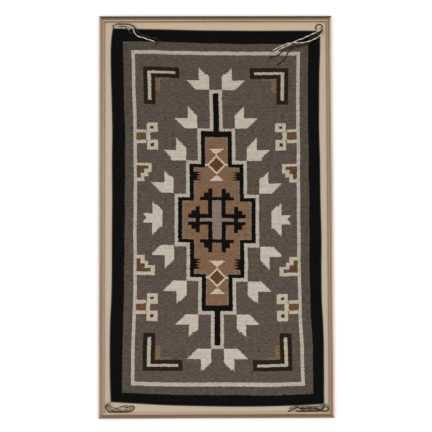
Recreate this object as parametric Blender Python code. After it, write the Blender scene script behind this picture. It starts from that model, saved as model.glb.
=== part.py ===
# Navajo rug with corner tassels, mounted on a linen-covered board in a thin wooden display frame.
# The frame lies on its back: +X runs across the rug, +Y to its top end and +Z out of its face.
# The origin is the middle of the frame's underside. Lengths are metres, tables are millimetres.

import math
from collections import namedtuple

import bmesh
import bpy

MM = 0.001

# Clearance between two neighbouring pieces, and what each side of a mitre gives up for it
GAP = 0.3 * MM
MITRE_GAP = GAP / math.sqrt(2)

# Frame: outside size, depth, and the steps of its moulding from the outer side inwards
FRAME_WIDTH = 682 * MM
FRAME_LENGTH = 1168 * MM
FRAME_DEPTH = 26 * MM
RAIL_WIDTH = 16 * MM
SHOULDER_WIDTH = 7.0 * MM
SHOULDER_DROP = 3.6 * MM
GROOVE_WIDTH = 3.4 * MM
GROOVE_DEPTH = 2.2 * MM
BEAD_WIDTH = 3.8 * MM
BEAD_SIDE = 1.2 * MM
LIP_DROP = 3.0 * MM
EDGE_ROUND = 0.8 * MM
RABBET_WIDTH = 7 * MM

# Board and its linen, held in the rabbet behind the lip
BOARD_BOTTOM = 4 * MM
BOARD_THICKNESS = 6 * MM
LINEN_THICKNESS = 1 * MM

# Rug: thickness of the weave, the yarn cord along each edge, and the step between outline points
RUG_THICKNESS = 4 * MM
CORD_DIAMETER = 5 * MM
OUTLINE_STEP = 28 * MM

# Tassels: the knot at each corner, the yarns, and the step between a yarn's points
KNOT_SIZE = (10 * MM, 10 * MM, 8 * MM)
KNOT_TURNS = 12
KNOT_RINGS = 8
YARN_RADIUS = 1.6 * MM
YARN_STEP = 7 * MM
YARN_SIDES_LEVEL = 0
CORD_SIDES_LEVEL = 2

# Heights that follow from the sizes above
BOARD_TOP = BOARD_BOTTOM + BOARD_THICKNESS
LINEN_BOTTOM = BOARD_TOP + GAP
LINEN_TOP = LINEN_BOTTOM + LINEN_THICKNESS
LIP_UNDERSIDE = LINEN_TOP + GAP
RUG_BOTTOM = LINEN_TOP + GAP
RUG_TOP = RUG_BOTTOM + RUG_THICKNESS
CORD_TOP = RUG_BOTTOM + CORD_DIAMETER
CORD_INSET = CORD_DIAMETER / 2
WEAVE_INSET = CORD_DIAMETER + 2 * GAP

# Outline of the handwoven rug, over its edge cords: waisted above the middle, wide near the foot
SideRow = namedtuple("SideRow", "along left right")
SIDES = [
    SideRow(-548, -305.4, 310.3),
    SideRow(-490, -307.7, 310.6),
    SideRow(-419, -308.7, 310.9),
    SideRow(-362, -308.5, 310.7),
    SideRow(-304, -307.6, 308.9),
    SideRow(-246, -304.7, 306.2),
    SideRow(-160, -303.1, 305.6),
    SideRow(-72, -303.0, 306.6),
    SideRow(44, -302.4, 304.6),
    SideRow(161, -303.0, 304.1),
    SideRow(249, -302.2, 302.3),
    SideRow(337, -304.2, 303.0),
    SideRow(425, -306.4, 304.4),
    SideRow(484, -307.0, 306.8),
    SideRow(519, -305.0, 307.0),
    SideRow(551, -301.0, 307.8),
]
EndRow = namedtuple("EndRow", "across bottom top")
ENDS = [
    EndRow(-310, -537.5, 550.0),
    EndRow(-230, -542.5, 548.4),
    EndRow(-147, -547.3, 546.9),
    EndRow(-60, -550.1, 544.4),
    EndRow(27, -552.0, 543.3),
    EndRow(115, -552.3, 542.5),
    EndRow(202, -550.7, 542.6),
    EndRow(269, -548.1, 542.6),
    EndRow(315, -545.5, 541.5),
]

# Corner tassels: where each knot lies, and the yarns that run from it. A yarn's rise is how far
# it is lifted where it crosses another one.
YarnRow = namedtuple("YarnRow", "across along rise")
TASSELS = {
    "tassel_top_left": {
        "knot": (-298.2, 555.9),
        "yarns": [
            [(-286.7, 552.3, 0), (-272.7, 551.3, 0), (-262.6, 549.3, 0), (-252.6, 543.8, 0)],
            [(-287.7, 556.4, 0), (-276.7, 555.5, 0), (-266.7, 553.4, 3.6), (-259.6, 547.3, 3.6),
             (-253.6, 539.8, 0), (-242.6, 531.8, 0)],
            [(-288.7, 559.4, 0), (-276.7, 559.2, 0), (-266.7, 558.7, 0), (-254.6, 555.4, 0),
             (-243.1, 548.8, 0), (-237.6, 537.8, 0), (-228.6, 526.8, 0), (-213.5, 522.3, 0),
             (-196.5, 516.3, 0), (-178.4, 510.7, 0)],
            [(-289.7, 562.4, 0), (-270.7, 562.9, 0), (-251.6, 561.9, 0), (-239.6, 555.4, 0),
             (-231.6, 545.8, 0), (-221.5, 532.8, 0), (-206.5, 527.8, 0), (-190.4, 522.8, 0),
             (-171.4, 517.8, 0), (-167.4, 507.7, 0), (-177.4, 499.7, 0)],
        ],
    },
    "tassel_top_right": {
        "knot": (311.9, 546.3),
        "yarns": [
            [(313.9, 552.8, 0), (310.9, 558.4, 0), (304.9, 560.9, 0), (297.9, 558.4, 0),
             (293.9, 551.8, 0), (295.9, 545.3, 0)],
            [(302.9, 540.3, 0), (284.8, 531.8, 0), (267.8, 524.3, 0), (253.7, 517.8, 0),
             (238.7, 512.2, 2), (224.7, 504.2, 3.6), (207.6, 495.7, 1.6), (192.6, 489.7, 0),
             (180.5, 482.2, 0), (172.5, 474.6, 0)],
            [(319.9, 542.8, 0), (315.9, 533.8, 0), (305.9, 526.8, 0), (294.9, 519.3, 0),
             (281.8, 512.7, 3.6), (268.8, 508.2, 3.6), (255.8, 506, 2), (243.7, 505.7, 0),
             (228.7, 506.2, 0), (211.6, 503.7, 0), (198.6, 498.7, 0), (183.6, 492.2, 0),
             (167.5, 482.7, 0)],
            [(304.9, 536.8, 0), (290.8, 527.8, 0), (277.8, 518.3, 0), (266.8, 508.7, 0),
             (255.8, 501.7, 0), (243.7, 498.7, 0), (229.7, 494.7, 0), (215, 490, 0),
             (204, 485.5, 0), (195, 479, 0), (186, 472, 0), (176.5, 467, 0), (166, 463, 0),
             (155.5, 459, 0)],
            [(307.9, 534.8, 0), (294.9, 523.8, 0), (281.8, 513.2, 0), (269.8, 503.7, 0),
             (257.8, 496.7, 0), (243.7, 494.2, 0), (229.7, 490.2, 0), (217, 483.7, 0),
             (211, 474.6, 0), (206.8, 464.6, 0), (199.6, 454, 0), (190, 446.2, 0),
             (180, 440.5, 0)],
        ],
    },
    "tassel_bottom_left": {
        "knot": (-311.3, -543.1),
        "yarns": [
            [(-319.3, -547.1, 0), (-318.8, -556.1, 0), (-311.8, -563.7, 0), (-297.7, -566, 0),
             (-281.7, -566, 0), (-266.7, -566, 0), (-252.6, -564.7, 0), (-241.6, -560.1, 0),
             (-237.6, -553.6, 0), (-243.6, -549.6, 0), (-253.6, -551.6, 0), (-263.6, -554.6, 0)],
            [(-314.3, -551.1, 0), (-308.3, -558.1, 0), (-297.7, -561.5, 0), (-281.7, -561.8, 0),
             (-266.7, -561.4, 0), (-253.6, -559.1, 0), (-244.1, -555.1, 0)],
            [(-306.8, -549.1, 0), (-299.7, -553.6, 0), (-289.7, -556.6, 0), (-278.7, -553.1, 0),
             (-267.7, -549.6, 0), (-257.6, -547.6, 0)],
        ],
    },
    "tassel_bottom_right": {
        "knot": (314.9, -549.6),
        "yarns": [
            [(304.9, -549.9, 0), (290.8, -553.1, 0), (272.8, -553.1, 0), (257.8, -553.1, 0),
             (243.7, -553.1, 0), (231.7, -551.6, 0), (221.7, -554.1, 0), (210.6, -558.6, 0)],
            [(320.9, -555.6, 0), (321.4, -561.2, 0), (316.4, -565.5, 0), (309.9, -565.7, 2),
             (302.9, -563.7, 3.8), (295.9, -560.1, 3.8), (288.8, -558.1, 2), (276.8, -556.9, 0),
             (263.8, -557.7, 0), (250.7, -558.3, 0), (240.7, -557.9, 0), (232.2, -555.9, 0),
             (224.7, -559.1, 0), (214.6, -563.7, 0), (205.6, -565.7, 0)],
            [(308.9, -553.6, 0), (300.9, -557.6, 0), (288.8, -561.8, 0), (276.8, -561, 0),
             (263.8, -561.8, 0), (250.7, -562.3, 0), (239.7, -562, 0)],
            [(309.9, -556.6, 0), (301.9, -562.2, 0), (291.8, -565.5, 0), (277.8, -565.2, 0),
             (264.8, -565.8, 0), (250.7, -566, 0), (237.7, -565.8, 0), (227.7, -564.2, 0)],
        ],
    },
}

# Colour, roughness and metallic value of each material
FINISHES = {
    "pale_wood": ((0.42, 0.30, 0.20), 0.55, 0.0),
    "fibre_board": ((0.30, 0.22, 0.14), 0.80, 0.0),
    "cream_linen": ((0.55, 0.46, 0.34), 0.90, 0.0),
    "grey_wool": ((0.12, 0.10, 0.085), 0.95, 0.0),
    "black_wool": ((0.010, 0.010, 0.010), 0.95, 0.0),
    "mixed_yarn": ((0.30, 0.27, 0.22), 0.95, 0.0),
}


def clear_scene():
    for old in list(bpy.data.objects):
        bpy.data.objects.remove(old, do_unlink=True)


def new_collection(name):
    collection = bpy.data.collections.new(name)
    bpy.context.scene.collection.children.link(collection)
    return collection


def material(name):
    """Principled material of one finish, made once."""
    if name in bpy.data.materials:
        return bpy.data.materials[name]
    colour, roughness, metallic = FINISHES[name]
    made = bpy.data.materials.new(name)
    made.use_nodes = True
    shader = made.node_tree.nodes["Principled BSDF"]
    shader.inputs["Base Color"].default_value = (*colour, 1.0)
    shader.inputs["Roughness"].default_value = roughness
    shader.inputs["Metallic"].default_value = metallic
    return made


def smooth_value(rows, column, place):
    """Value of a table's column at a place, on a smooth line through its rows (millimetres)."""
    last = len(rows) - 1
    index = 0
    while index < last - 1 and place > rows[index + 1][0]:
        index += 1

    def slope(row):
        low = max(row - 1, 0)
        high = min(row + 1, last)
        rise = getattr(rows[high], column) - getattr(rows[low], column)
        return rise / (rows[high][0] - rows[low][0])

    start, end = rows[index], rows[index + 1]
    span = end[0] - start[0]
    t = (place - start[0]) / span
    t2 = t * t
    t3 = t2 * t
    return (
        (2 * t3 - 3 * t2 + 1) * getattr(start, column)
        + (t3 - 2 * t2 + t) * span * slope(index)
        + (3 * t2 - 2 * t3) * getattr(end, column)
        + (t3 - t2) * span * slope(index + 1)
    )


def side_at(side, along):
    return smooth_value(SIDES, side, along / MM) * MM


def end_at(end, across):
    return smooth_value(ENDS, end, across / MM) * MM


def corner(side, end):
    """Where a side of the outline meets an end."""
    x = side_at(side, 0)
    for _ in range(4):
        y = end_at(end, x)
        x = side_at(side, y)
    return x, y


def steps_between(start, end, step):
    """Places from start to end, both included, about a step apart."""
    count = max(2, round(abs(end - start) / step))
    return [start + (end - start) * i / count for i in range(count + 1)]


def side_line(side, inset, trim):
    """Points up one side of the rug, moved inwards, with both ends cut short by a trim."""
    inwards = inset if side == "left" else -inset
    low = corner(side, "bottom")[1] + trim
    high = corner(side, "top")[1] - trim
    return [(side_at(side, y) + inwards, y) for y in steps_between(low, high, OUTLINE_STEP)]


def end_line(end, inset, trim):
    """Points along one end of the rug, from left to right."""
    inwards = inset if end == "bottom" else -inset
    low = corner("left", end)[0] + trim
    high = corner("right", end)[0] - trim
    return [(x, end_at(end, x) + inwards) for x in steps_between(low, high, OUTLINE_STEP)]


def smooth_route(points, step):
    """Points a step apart on a smooth curve through a route's own points."""
    made = []
    for i in range(len(points) - 1):
        before = points[max(i - 1, 0)]
        start, end = points[i], points[i + 1]
        after = points[min(i + 2, len(points) - 1)]
        count = max(1, round(math.dist(start, end) / step))
        for k in range(count):
            t = k / count
            made.append(tuple(
                0.5 * (2 * b + (c - a) * t + (2 * a - 5 * b + 4 * c - d) * t ** 2
                       + (3 * b - a - 3 * c + d) * t ** 3)
                for a, b, c, d in zip(before, start, end, after)
            ))
    made.append(tuple(points[-1]))
    return made


def curve_object(name, points, dimensions, closed, collection):
    """Curve of one straight-sided spline."""
    curve = bpy.data.curves.new(name, "CURVE")
    curve.dimensions = dimensions
    spline = curve.splines.new("POLY")
    spline.points.add(len(points) - 1)
    for spot, place in zip(spline.points, points):
        spot.co = (*place, 1.0) if len(place) == 3 else (*place, 0.0, 1.0)
    spline.use_cyclic_u = closed
    made = bpy.data.objects.new(name, curve)
    collection.objects.link(made)
    return made


def outline_object(name, points, thickness, collection):
    """Flat closed outline, filled on both faces and thickened about its own plane."""
    made = curve_object(name, points, "2D", True, collection)
    made.data.fill_mode = "BOTH"
    made.data.extrude = thickness / 2
    return made


def tube_object(name, points, radius, sides_level, collection):
    """Round tube along a line of points, with closed ends."""
    made = curve_object(name, points, "3D", False, collection)
    made.data.bevel_depth = radius
    made.data.bevel_resolution = sides_level
    made.data.use_fill_caps = True
    return made


def mesh_from_curve(source, collection):
    """Mesh object in a curve's place, with its caps welded on."""
    bpy.context.view_layer.update()
    graph = bpy.context.evaluated_depsgraph_get()
    mesh = bpy.data.meshes.new_from_object(source.evaluated_get(graph))
    welded = bmesh.new()
    welded.from_mesh(mesh)
    bmesh.ops.remove_doubles(welded, verts=welded.verts, dist=0.01 * MM)
    bmesh.ops.recalc_face_normals(welded, faces=welded.faces)
    welded.to_mesh(mesh)
    welded.free()
    name = source.name
    place = source.matrix_world.copy()
    bpy.data.objects.remove(source, do_unlink=True)
    made = bpy.data.objects.new(name, mesh)
    made.matrix_world = place
    collection.objects.link(made)
    return made


def box_object(name, size, centre, collection):
    mesh = bpy.data.meshes.new(name)
    shape = bmesh.new()
    bmesh.ops.create_cube(shape, size=1.0)
    bmesh.ops.scale(shape, vec=size, verts=shape.verts)
    shape.to_mesh(mesh)
    shape.free()
    made = bpy.data.objects.new(name, mesh)
    made.location = centre
    collection.objects.link(made)
    return made


def rail_profile():
    """Section of the moulding: across from its outer side, and up from its underside."""
    bead_start = SHOULDER_WIDTH + GROOVE_WIDTH
    bead_end = bead_start + BEAD_WIDTH
    groove_height = FRAME_DEPTH - GROOVE_DEPTH
    lip_height = FRAME_DEPTH - LIP_DROP
    rabbet_wall = RAIL_WIDTH - RABBET_WIDTH
    return [
        (0, 0),
        (rabbet_wall, 0),
        (rabbet_wall, LIP_UNDERSIDE),
        (RAIL_WIDTH, LIP_UNDERSIDE),
        (RAIL_WIDTH, lip_height - EDGE_ROUND),
        (RAIL_WIDTH - EDGE_ROUND, lip_height),
        (bead_end, FRAME_DEPTH - BEAD_SIDE),
        (bead_end - 0.25 * BEAD_WIDTH, FRAME_DEPTH - 0.25 * BEAD_SIDE),
        (bead_end - 0.5 * BEAD_WIDTH, FRAME_DEPTH),
        (bead_start + 0.25 * BEAD_WIDTH, FRAME_DEPTH - 0.25 * BEAD_SIDE),
        (bead_start, FRAME_DEPTH - BEAD_SIDE),
        (bead_start - 0.3 * GROOVE_WIDTH, groove_height),
        (SHOULDER_WIDTH + 0.1 * GROOVE_WIDTH, groove_height),
        (SHOULDER_WIDTH, FRAME_DEPTH - EDGE_ROUND),
        (SHOULDER_WIDTH - EDGE_ROUND, FRAME_DEPTH),
        (0.5 * SHOULDER_WIDTH, FRAME_DEPTH - 0.12 * SHOULDER_DROP),
        (0.2 * SHOULDER_WIDTH, FRAME_DEPTH - 0.45 * SHOULDER_DROP),
        (0, FRAME_DEPTH - SHOULDER_DROP),
    ]


def frame_rail(name, length, turn, middle, collection):
    """Rail of the frame, its ends mitred from the outer side inwards."""
    rail = mesh_from_curve(outline_object(name, rail_profile(), length, collection), collection)
    for vertex in rail.data.vertices:
        end = math.copysign(1, vertex.co.z)
        vertex.co.z = end * (length / 2 - vertex.co.x - MITRE_GAP)
    rail.rotation_euler = (math.radians(90), 0, math.radians(90 + turn))
    rail.location = (*middle, 0)
    rail.data.materials.append(material("pale_wood"))


def build_frame(collection):
    half_width = FRAME_WIDTH / 2
    half_length = FRAME_LENGTH / 2
    frame_rail("frame_rail_bottom", FRAME_WIDTH, 0, (0, -half_length), collection)
    frame_rail("frame_rail_right", FRAME_LENGTH, 90, (half_width, 0), collection)
    frame_rail("frame_rail_top", FRAME_WIDTH, 180, (0, half_length), collection)
    frame_rail("frame_rail_left", FRAME_LENGTH, 270, (-half_width, 0), collection)


def build_backing(collection):
    """Stiff board in the rabbet, and the linen stretched over its face."""
    lost = 2 * (RAIL_WIDTH - RABBET_WIDTH + GAP)
    width = FRAME_WIDTH - lost
    length = FRAME_LENGTH - lost
    board = box_object(
        "backing_board",
        (width, length, BOARD_THICKNESS),
        (0, 0, BOARD_BOTTOM + BOARD_THICKNESS / 2),
        collection,
    )
    board.data.materials.append(material("fibre_board"))
    linen = box_object(
        "linen_panel",
        (width, length, LINEN_THICKNESS),
        (0, 0, LINEN_BOTTOM + LINEN_THICKNESS / 2),
        collection,
    )
    linen.data.materials.append(material("cream_linen"))


def build_rug(collection):
    """The woven web, one flat piece with the outline that the loom and the years gave it."""
    foot = end_line("bottom", WEAVE_INSET, WEAVE_INSET)
    right = side_line("right", WEAVE_INSET, 2 * WEAVE_INSET)
    head = end_line("top", WEAVE_INSET, WEAVE_INSET)
    left = side_line("left", WEAVE_INSET, 2 * WEAVE_INSET)
    outline = foot + right + head[::-1] + left[::-1]
    rug = outline_object("rug", outline, RUG_THICKNESS, collection)
    rug.location = (0, 0, RUG_BOTTOM + RUG_THICKNESS / 2)
    rug.data.materials.append(material("grey_wool"))


def build_edge_cords(collection):
    """Yarn cords along the four edges: the end cords stop at the side cords."""
    radius = CORD_DIAMETER / 2
    end_trim = CORD_DIAMETER + GAP
    lines = {
        "side_cord_left": side_line("left", CORD_INSET, 0),
        "side_cord_right": side_line("right", CORD_INSET, 0),
        "end_cord_top": end_line("top", CORD_INSET, end_trim),
        "end_cord_bottom": end_line("bottom", CORD_INSET, end_trim),
    }
    for name, line in lines.items():
        height = RUG_BOTTOM + radius
        points = [(x, y, height) for x, y in line]
        cord = tube_object(name, points, radius, CORD_SIDES_LEVEL, collection)
        cord.data.materials.append(material("black_wool"))


def surface_under(x, y):
    """Height of what lies under a yarn: the linen, an edge cord, or the rug inside the cords."""
    margin = 2 * YARN_RADIUS
    inside = min(
        x - side_at("left", y),
        side_at("right", y) - x,
        y - end_at("bottom", x),
        end_at("top", x) - y,
    )
    if inside < -margin:
        return LINEN_TOP
    if inside < CORD_DIAMETER + margin:
        return CORD_TOP
    return RUG_TOP


def yarn_points(knot, rows):
    """Points of a yarn from inside its knot, lying on what is under it."""
    start = [(knot[0], knot[1], 0)]
    route = [YarnRow(x * MM, y * MM, rise * MM) for x, y, rise in start + rows]
    flat = smooth_route(route, YARN_STEP)
    under = [surface_under(x, y) for x, y, rise in flat]
    points = []
    for i, (x, y, rise) in enumerate(flat):
        highest = max(under[max(i - 1, 0):i + 2])
        points.append((x, y, highest + GAP + YARN_RADIUS + rise))
    return points


def build_tassel(name, knot, yarns, collection, cutters):
    """Corner knot with its loose yarns, which part from each other outside the knot."""
    mesh = bpy.data.meshes.new(name)
    shape = bmesh.new()
    bmesh.ops.create_uvsphere(shape, u_segments=KNOT_TURNS, v_segments=KNOT_RINGS, radius=0.5)
    bmesh.ops.scale(shape, vec=KNOT_SIZE, verts=shape.verts)
    shape.to_mesh(mesh)
    shape.free()
    tassel = bpy.data.objects.new(name, mesh)
    tassel.location = (knot[0] * MM, knot[1] * MM, LINEN_TOP + GAP + KNOT_SIZE[2] / 2)
    tassel.data.materials.append(material("mixed_yarn"))
    collection.objects.link(tassel)
    for number, rows in enumerate(yarns):
        points = yarn_points(knot, rows)
        points[0] = tuple(tassel.location)
        tube = tube_object(f"{name}_yarn_{number}", points, YARN_RADIUS, YARN_SIDES_LEVEL, cutters)
        yarn = mesh_from_curve(tube, cutters)
        yarn.hide_render = True
        yarn.display_type = "WIRE"
        join = tassel.modifiers.new(f"join_{number}", "BOOLEAN")
        join.operation = "UNION"
        join.solver = "EXACT"
        join.object = yarn


def main():
    clear_scene()
    collection = new_collection("navajo_rug_in_display_frame")
    cutters = new_collection("cutters")
    build_frame(collection)
    build_backing(collection)
    build_rug(collection)
    build_edge_cords(collection)
    for name, tassel in TASSELS.items():
        build_tassel(name, tassel["knot"], tassel["yarns"], collection, cutters)


main()
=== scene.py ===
# Navajo rug with corner tassels, laid on linen in a thin wooden display frame, seen from above

import math
from collections import namedtuple

import bpy
import numpy as np
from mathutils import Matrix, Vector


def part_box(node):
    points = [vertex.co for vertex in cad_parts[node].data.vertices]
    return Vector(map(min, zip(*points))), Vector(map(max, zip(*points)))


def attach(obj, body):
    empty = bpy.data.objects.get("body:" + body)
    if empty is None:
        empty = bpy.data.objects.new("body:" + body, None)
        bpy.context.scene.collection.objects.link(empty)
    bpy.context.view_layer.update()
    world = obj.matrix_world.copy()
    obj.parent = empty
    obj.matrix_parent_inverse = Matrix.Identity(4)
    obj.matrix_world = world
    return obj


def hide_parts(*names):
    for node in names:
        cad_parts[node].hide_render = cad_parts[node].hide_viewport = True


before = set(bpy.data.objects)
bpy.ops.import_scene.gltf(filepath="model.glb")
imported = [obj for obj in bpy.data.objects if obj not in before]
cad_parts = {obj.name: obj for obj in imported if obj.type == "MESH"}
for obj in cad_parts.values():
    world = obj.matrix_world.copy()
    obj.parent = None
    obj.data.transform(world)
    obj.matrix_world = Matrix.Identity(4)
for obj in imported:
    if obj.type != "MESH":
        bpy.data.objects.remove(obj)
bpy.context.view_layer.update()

mm = 0.001


def linear(hexColour):  # sRGB hex to the linear values that nodes take
    channels = [int(hexColour[i:i + 2], 16) / 255 for i in (1, 3, 5)]
    return [c / 12.92 if c <= 0.04045 else ((c + 0.055) / 1.055) ** 2.4 for c in channels] + [1.0]


def addNode(tree, kind, inputs=None, **settings):  # a kind without a prefix is a shader node
    node = tree.nodes.new(kind if "Node" in kind else "ShaderNode" + kind)
    for name, value in settings.items():
        setattr(node, name, value)
    for key, value in (inputs or {}).items():
        if isinstance(value, bpy.types.Node):
            value = value.outputs[0]
        if isinstance(value, bpy.types.NodeSocket):
            tree.links.new(value, node.inputs[key])
        else:
            node.inputs[key].default_value = value
    return node


def span(fromMin, fromMax, toMin=0.0, toMax=1.0):  # the ends that a value's range is mapped to
    return {"From Min": fromMin, "From Max": fromMax, "To Min": toMin, "To Max": toMax}


def newMaterial(name, **shaderValues):
    material = bpy.data.materials.new(name)
    material.use_nodes = True
    tree = material.node_tree
    shader = tree.nodes["Principled BSDF"]
    for key, value in shaderValues.items():
        shader.inputs[key.replace("_", " ")].default_value = value
    return material, tree, shader


def dress(tree, shader, colour, height, strength, distance):  # a shader's colour and relief
    tree.links.new(colour, shader.inputs["Base Color"])
    bump = addNode(tree, "Bump", {"Height": height, "Strength": strength, "Distance": distance})
    tree.links.new(bump.outputs[0], shader.inputs["Normal"])


def newObject(name, data):
    made = bpy.data.objects.new(name, data)
    bpy.context.collection.objects.link(made)
    return made


# Camera, light and floor

view = {
    "place": (-0.0236, -0.1338, 3.0132),
    "turn": (2.533, -0.438, -0.183),  # degrees
    "lens": 86,
    "sensor": 36,
}
studio = {
    "sky": 0.57,
    "boxSize": (1.0, 2.6),
    "boxes": {"left": ((-1.1, -0.1, 3.3), 48.5), "right": ((1.1, -0.1, 3.3), 46)},  # place, watts
    "floor": "#fbfbfa",
    "floorSize": 14,
    "floorHeight": -0.3 * mm,
}


def buildCamera():
    data = bpy.data.cameras.new("camera")
    data.lens = view["lens"]
    data.sensor_width = view["sensor"]
    camera = newObject("camera", data)
    camera.location = view["place"]
    camera.rotation_euler = [math.radians(angle) for angle in view["turn"]]
    bpy.context.scene.camera = camera


def buildStudio():
    bpy.context.scene.view_settings.view_transform = "Standard"
    world = bpy.data.worlds.new("studio")
    world.use_nodes = True
    sky = world.node_tree.nodes["Background"]
    sky.inputs["Color"].default_value = (1, 1, 1, 1)
    sky.inputs["Strength"].default_value = studio["sky"]
    bpy.context.scene.world = world
    for side, (place, watts) in studio["boxes"].items():
        data = bpy.data.lights.new("softbox_" + side, "AREA")
        data.shape = "RECTANGLE"
        data.size, data.size_y = studio["boxSize"]
        data.energy = watts
        lamp = newObject("softbox_" + side, data)
        lamp.location = place
        lamp.rotation_euler = (0, math.atan2(place[0], place[2]), 0)
    half = studio["floorSize"] / 2
    mesh = bpy.data.meshes.new("floor")
    corners = [(-half, -half), (half, -half), (half, half), (-half, half)]
    mesh.from_pydata([(x, y, studio["floorHeight"]) for x, y in corners], [], [(0, 1, 2, 3)])
    floor = newObject("studio_floor", mesh)
    material, tree, shader = newMaterial("matte_paper_floor", Roughness=0.9)
    shader.inputs["Base Color"].default_value = linear(studio["floor"])
    mesh.materials.append(material)


buildCamera()
buildStudio()
print("camera, light and floor are up")


# The rug's outline, as the frame's own solids have it (millimetres)

SideRow = namedtuple("SideRow", "along left right")
sides = [SideRow(*row) for row in (
    (-548, -305.4, 310.3),
    (-490, -307.7, 310.6),
    (-419, -308.7, 310.9),
    (-362, -308.5, 310.7),
    (-304, -307.6, 308.9),
    (-246, -304.7, 306.2),
    (-160, -303.1, 305.6),
    (-72, -303.0, 306.6),
    (44, -302.4, 304.6),
    (161, -303.0, 304.1),
    (249, -302.2, 302.3),
    (337, -304.2, 303.0),
    (425, -306.4, 304.4),
    (484, -307.0, 306.8),
    (519, -305.0, 307.0),
    (551, -301.0, 307.8),
)]
EndRow = namedtuple("EndRow", "across bottom top")
ends = [EndRow(*row) for row in (
    (-310, -537.5, 550.0),
    (-230, -542.5, 548.4),
    (-147, -547.3, 546.9),
    (-60, -550.1, 544.4),
    (27, -552.0, 543.3),
    (115, -552.3, 542.5),
    (202, -550.7, 542.6),
    (269, -548.1, 542.6),
    (315, -545.5, 541.5),
)]


def smoothAt(rows, column, places):  # a table's column on a smooth line through its rows
    knots = np.array([row[0] for row in rows], float)
    values = np.array([getattr(row, column) for row in rows], float)
    slopes = np.empty_like(values)
    slopes[1:-1] = (values[2:] - values[:-2]) / (knots[2:] - knots[:-2])
    slopes[0] = (values[1] - values[0]) / (knots[1] - knots[0])
    slopes[-1] = (values[-1] - values[-2]) / (knots[-1] - knots[-2])
    places = np.asarray(places, float)
    index = np.clip(np.searchsorted(knots, places, side="left") - 1, 0, len(knots) - 2)
    gap = knots[index + 1] - knots[index]
    t = (places - knots[index]) / gap
    return (
        (2 * t ** 3 - 3 * t ** 2 + 1) * values[index]
        + (t ** 3 - 2 * t ** 2 + t) * gap * slopes[index]
        + (3 * t ** 2 - 2 * t ** 3) * values[index + 1]
        + (t ** 3 - t ** 2) * gap * slopes[index + 1]
    )


def cornerOf(side, end):
    x = float(smoothAt(sides, side, 0))
    for _ in range(4):
        y = float(smoothAt(ends, end, x))
        x = float(smoothAt(sides, side, y))
    return x, y


# Geometry Nodes: twisted cords and the ribs of the weave

def newTree(name, inputs):  # geometry tree with named inputs, its inputs' sockets and last node
    tree = bpy.data.node_groups.new(name, "GeometryNodeTree")
    for label, kind in {"Geometry": "Geometry", **inputs}.items():
        tree.interface.new_socket(label, in_out="INPUT", socket_type="NodeSocket" + kind)
    tree.interface.new_socket("Geometry", in_out="OUTPUT", socket_type="NodeSocketGeometry")
    start = tree.nodes.new("NodeGroupInput")
    given = {label: start.outputs[label] for label in ["Geometry", *inputs]}
    return tree, given, tree.nodes.new("NodeGroupOutput")


def applyTree(source, tree, values, name):  # plain mesh object of what a tree makes from a source
    modifier = source.modifiers.new("tree", "NODES")
    modifier.node_group = tree
    for item in tree.interface.items_tree:
        if item.in_out == "INPUT" and item.name in values:
            modifier[item.identifier] = values[item.name]
    bpy.context.view_layer.update()
    graph = bpy.context.evaluated_depsgraph_get()
    mesh = bpy.data.meshes.new_from_object(source.evaluated_get(graph))
    mesh.name = name
    bpy.data.objects.remove(source, do_unlink=True)
    return newObject(name, mesh)


def endTree(tree, given, end, geometry):
    real = addNode(tree, "GeometryNodeRealizeInstances", {"Geometry": geometry})
    painted = addNode(
        tree, "GeometryNodeSetMaterial", {"Geometry": real, "Material": given["Material"]})
    tree.links.new(painted.outputs[0], end.inputs[0])
    return tree


def cordTree():
    tree, given, end = newTree("twistedCord", {
        "Step": "Float",
        "Strands": "Int",
        "Strand Radius": "Float",
        "Strand Offset": "Float",
        "Lay Length": "Float",
        "Phase": "Float",
        "Strand Sides": "Int",
        "Material": "Material",
    })
    smooth = addNode(
        tree, "GeometryNodeCurveSplineType", {"Curve": given["Geometry"]},
        spline_type="CATMULL_ROM")
    fine = addNode(tree, "GeometryNodeSetSplineResolution", {"Geometry": smooth, "Resolution": 8})
    path = addNode(
        tree, "GeometryNodeResampleCurve", {"Curve": fine, "Length": given["Step"]}, mode="LENGTH")
    along = addNode(tree, "GeometryNodeSplineParameter")
    turns = addNode(
        tree, "Math", {0: along.outputs["Length"], 1: given["Lay Length"]}, operation="DIVIDE")
    angle = addNode(tree, "Math", {0: turns, 1: 2 * math.pi}, operation="MULTIPLY")
    tilted = addNode(tree, "GeometryNodeSetCurveTilt", {"Curve": path, "Tilt": angle})
    index = addNode(tree, "GeometryNodeInputIndex")
    share = addNode(tree, "Math", {0: index, 1: given["Strands"]}, operation="DIVIDE")
    bearing = addNode(
        tree, "Math", {0: share, 1: 2 * math.pi, 2: given["Phase"]}, operation="MULTIPLY_ADD")
    east = addNode(tree, "Math", {0: bearing}, operation="COSINE")
    north = addNode(tree, "Math", {0: bearing}, operation="SINE")
    direction = addNode(tree, "CombineXYZ", {0: east, 1: north})
    placeOut = addNode(
        tree, "VectorMath", {0: direction, "Scale": given["Strand Offset"]}, operation="SCALE")
    centres = addNode(
        tree, "GeometryNodePoints", {"Count": given["Strands"], "Position": placeOut})
    strand = addNode(
        tree, "GeometryNodeCurvePrimitiveCircle",
        {"Resolution": given["Strand Sides"], "Radius": given["Strand Radius"]})
    placed = addNode(tree, "GeometryNodeInstanceOnPoints", {"Points": centres, "Instance": strand})
    section = addNode(tree, "GeometryNodeRealizeInstances", {"Geometry": placed})
    swept = addNode(
        tree, "GeometryNodeCurveToMesh",
        {"Curve": tilted, "Profile Curve": section, "Fill Caps": True})
    shaded = addNode(tree, "GeometryNodeSetShadeSmooth", {"Geometry": swept, "Shade Smooth": True})
    return endTree(tree, given, end, shaded)


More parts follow.
